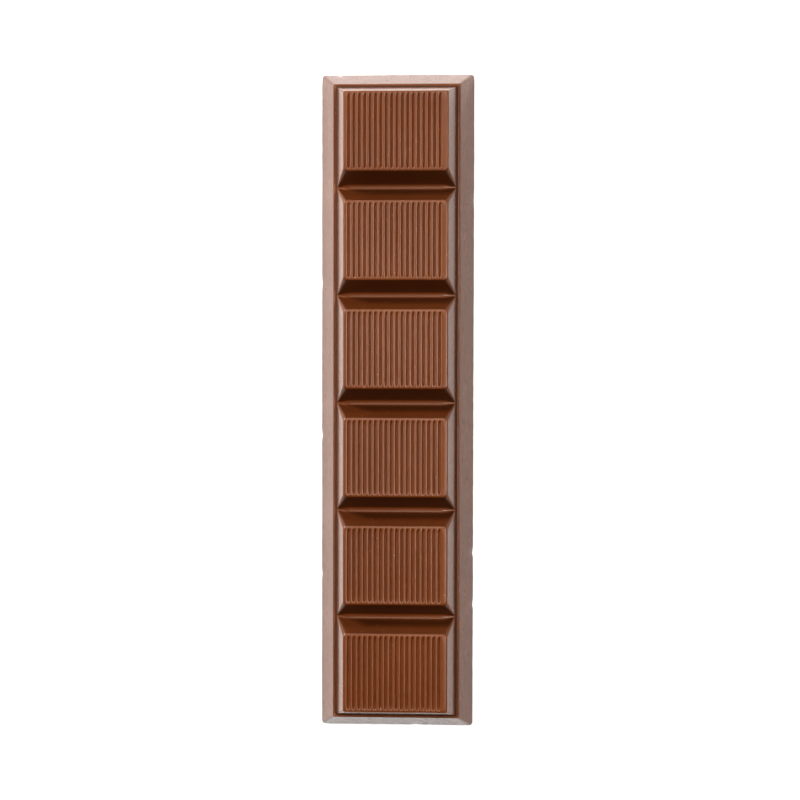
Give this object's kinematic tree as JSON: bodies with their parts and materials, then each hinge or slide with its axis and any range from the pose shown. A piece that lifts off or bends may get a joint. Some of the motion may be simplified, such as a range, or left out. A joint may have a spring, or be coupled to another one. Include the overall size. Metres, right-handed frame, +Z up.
{
  "type": "chocolate bar",
  "caption": "Long narrow milk chocolate bar moulded in one row of ribbed blocks that V-grooves part, on a slab with sloping walls and a narrow rim.",
  "frame": {"origin": "under the middle of the bar's flat back, on the surface it lies on", "axes": "+Y along the bar and its ribs, +X across it, +Z up through the ribbed blocks"},
  "size_m": [0.0288, 0.1238, 0.0099],
  "materials": {
    "milk_chocolate": "moulded milk chocolate, semi-gloss"
  },
  "bodies": {
    "root": {"chocolate_bar": "milk_chocolate"}
  },
  "joints": []
}
